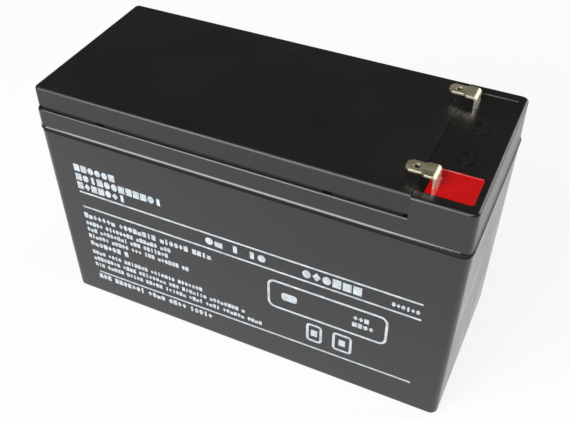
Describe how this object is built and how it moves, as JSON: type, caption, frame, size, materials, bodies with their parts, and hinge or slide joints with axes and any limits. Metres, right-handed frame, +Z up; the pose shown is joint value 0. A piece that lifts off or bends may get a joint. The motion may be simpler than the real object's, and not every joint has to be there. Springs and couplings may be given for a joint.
{
  "type": "sealed lead acid battery",
  "caption": "Rectangular black sealed lead acid battery block with flat bent tab terminals at one end, a red-sealed positive well and a moulded vent cover.",
  "frame": {"origin": "middle of the flat base", "axes": "+X along the length towards the terminal end, -Y out of the printed front, +Z up"},
  "size_m": [0.151, 0.065, 0.0975],
  "materials": {
    "case_plastic": "satin moulded black",
    "sealant": "cured epoxy",
    "tinned_brass": "tin plated, a little dull",
    "red_resin": "poured glossy epoxy",
    "black_resin": "poured glossy epoxy",
    "lead": "cast lead, dull grey",
    "positive_plate": "brown pasted plate",
    "seal_rubber": "moulded rubber",
    "glass_mat": "white glass fibre mat"
  },
  "bodies": {
    "root": {"container": "case_plastic", "lid": "case_plastic", "vent_cover": "case_plastic", "joint_sealant": "sealant", "terminal_positive": "tinned_brass", "terminal_negative": "tinned_brass", "resin_positive": "red_resin", "resin_negative": "black_resin", "pillar_positive": "lead", "pillar_negative": "lead", "seal_ring_positive": "seal_rubber", "seal_ring_negative": "seal_rubber", "valve_cap_1": "seal_rubber", "positive_group_1": "positive_plate", "negative_group_1": "lead", "separators_1": "glass_mat", "valve_cap_2": "seal_rubber", "positive_group_2": "positive_plate", "negative_group_2": "lead", "separators_2": "glass_mat", "valve_cap_3": "seal_rubber", "positive_group_3": "positive_plate", "negative_group_3": "lead", "separators_3": "glass_mat", "valve_cap_4": "seal_rubber", "positive_group_4": "positive_plate", "negative_group_4": "lead", "separators_4": "glass_mat", "valve_cap_5": "seal_rubber", "positive_group_5": "positive_plate", "negative_group_5": "lead", "separators_5": "glass_mat", "valve_cap_6": "seal_rubber", "positive_group_6": "positive_plate", "negative_group_6": "lead", "separators_6": "glass_mat", "cell_link_1_2": "lead", "cell_link_2_3": "lead", "cell_link_3_4": "lead", "cell_link_4_5": "lead", "cell_link_5_6": "lead"}
  },
  "joints": []
}
